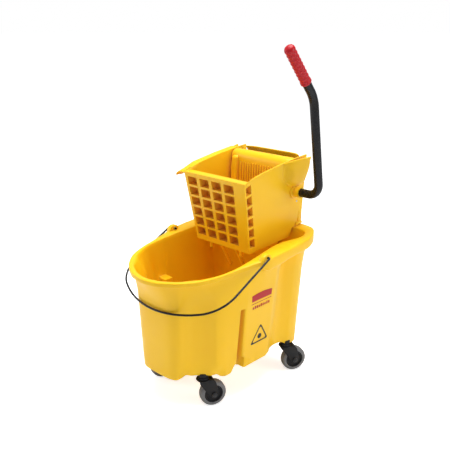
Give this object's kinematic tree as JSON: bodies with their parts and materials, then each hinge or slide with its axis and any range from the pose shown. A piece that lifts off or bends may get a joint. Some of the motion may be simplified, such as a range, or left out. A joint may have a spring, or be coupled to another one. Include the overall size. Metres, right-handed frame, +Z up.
{
  "type": "mop bucket with wringer",
  "caption": "Wheeled mop bucket with wire bail and a lift-off side-press wringer, whose long lever drives a press plate through pinions and racks.",
  "frame": {"origin": "on the floor under the middle of the whole object's footprint, which is 5 mm to the lever side of the bucket's middle plane", "axes": "+Z up, -Y towards the bucket's nose, +X towards the lever"},
  "size_m": [0.426, 0.5624, 0.9804],
  "materials": {
    "yellow_moulding": "smooth semi-gloss moulded polypropylene",
    "black_steel": "black powder coat, semi-gloss",
    "black_wire": "black coated wire",
    "zinc_steel": "bright zinc plate",
    "black_plastic": "fine-grained black plastic",
    "grey_tread": "grey non-marking rubber, satin",
    "red_grip": "moulded red grip, satin",
    "white_bush": "plain bearing plastic",
    "red_label": "printed film, gloss",
    "black_print": "printed film, matt"
  },
  "bodies": {
    "bucket": {"bucket_shell": "yellow_moulding", "side_label": "red_label", "sign_frame": "black_print", "caster_socket_front_right": "zinc_steel", "caster_socket_front_left": "zinc_steel", "caster_socket_rear_right": "zinc_steel", "caster_socket_rear_left": "zinc_steel"},
    "bail": {"bail_wire": "black_wire", "bail_clips": "zinc_steel"},
    "wringer": {"wringer_housing": "yellow_moulding", "rear_cover": "yellow_moulding", "drain_grate": "yellow_moulding", "guide_rail_right": "yellow_moulding", "guide_rail_left": "yellow_moulding", "shaft_bush_right": "white_bush", "shaft_bush_left": "white_bush", "cover_screws": "zinc_steel"},
    "lever": {"lever_tube": "black_steel", "lever_grip": "red_grip", "shaft_plug": "black_plastic", "pinion_right": "zinc_steel", "pinion_left": "zinc_steel", "gear_pins": "zinc_steel"},
    "press": {"press_plate": "yellow_moulding", "rack_right": "zinc_steel", "rack_left": "zinc_steel", "plate_screws": "zinc_steel"},
    "caster_front_right": {"caster_fork_front_right": "black_steel", "caster_stem_front_right": "zinc_steel", "caster_bearing_front_right": "black_plastic", "wheel_axle_front_right": "zinc_steel"},
    "wheel_front_right": {"wheel_hub_front_right": "black_plastic", "wheel_tread_front_right": "grey_tread"},
    "caster_front_left": {"caster_fork_front_left": "black_steel", "caster_stem_front_left": "zinc_steel", "caster_bearing_front_left": "black_plastic", "wheel_axle_front_left": "zinc_steel"},
    "wheel_front_left": {"wheel_hub_front_left": "black_plastic", "wheel_tread_front_left": "grey_tread"},
    "caster_rear_right": {"caster_fork_rear_right": "black_steel", "caster_stem_rear_right": "zinc_steel", "caster_bearing_rear_right": "black_plastic", "wheel_axle_rear_right": "zinc_steel"},
    "wheel_rear_right": {"wheel_hub_rear_right": "black_plastic", "wheel_tread_rear_right": "grey_tread"},
    "caster_rear_left": {"caster_fork_rear_left": "black_steel", "caster_stem_rear_left": "zinc_steel", "caster_bearing_rear_left": "black_plastic", "wheel_axle_rear_left": "zinc_steel"},
    "wheel_rear_left": {"wheel_hub_rear_left": "black_plastic", "wheel_tread_rear_left": "grey_tread"}
  },
  "joints": [
    {"name": "bail_swing", "type": "hinge", "parent": "bucket", "child": "bail", "pos_m": [-0.005, 0, 0.424], "axis": [1, 0, 0], "range_deg": [-108, 0]},
    {"name": "wringer_lift", "type": "slide", "parent": "bucket", "child": "wringer", "axis": [0, 0, 1], "range_m": [0, 0.3]},
    {"name": "lever_pull", "type": "hinge", "parent": "wringer", "child": "lever", "pos_m": [-0.005, 0.214, 0.555], "axis": [1, 0, 0], "range_deg": [0, 85]},
    {"name": "press_slide", "type": "slide", "parent": "wringer", "child": "press", "axis": [0, -1, 0], "range_m": [0, 0.054]},
    {"name": "swivel_front_right", "type": "hinge", "parent": "bucket", "child": "caster_front_right", "pos_m": [0.1006, -0.161, 0.088], "axis": [0, 0, 1], "continuous": true},
    {"name": "roll_front_right", "type": "hinge", "parent": "caster_front_right", "child": "wheel_front_right", "pos_m": [0.11231, -0.137, 0.0381], "axis": [-0.8988, 0.4384, 0], "continuous": true},
    {"name": "swivel_front_left", "type": "hinge", "parent": "bucket", "child": "caster_front_left", "pos_m": [-0.1106, -0.161, 0.088], "axis": [0, 0, 1], "continuous": true},
    {"name": "roll_front_left", "type": "hinge", "parent": "caster_front_left", "child": "wheel_front_left", "pos_m": [-0.10596, -0.13471, 0.0381], "axis": [-0.9848, 0.1736, 0], "continuous": true},
    {"name": "swivel_rear_right", "type": "hinge", "parent": "bucket", "child": "caster_rear_right", "pos_m": [0.1436, 0.15, 0.088], "axis": [0, 0, 1], "continuous": true},
    {"name": "roll_rear_right", "type": "hinge", "parent": "caster_rear_right", "child": "wheel_rear_right", "pos_m": [0.15634, 0.17346, 0.0381], "axis": [-0.8788, 0.4772, 0], "continuous": true},
    {"name": "swivel_rear_left", "type": "hinge", "parent": "bucket", "child": "caster_rear_left", "pos_m": [-0.1536, 0.15, 0.088], "axis": [0, 0, 1], "continuous": true},
    {"name": "roll_rear_left", "type": "hinge", "parent": "caster_rear_left", "child": "wheel_rear_left", "pos_m": [-0.14447, 0.17509, 0.0381], "axis": [-0.9397, 0.342, 0], "continuous": true}
  ],
  "couplings": [
    {"joint": "press_slide", "follows": "lever_pull", "m_per_rad": 0.036}
  ]
}
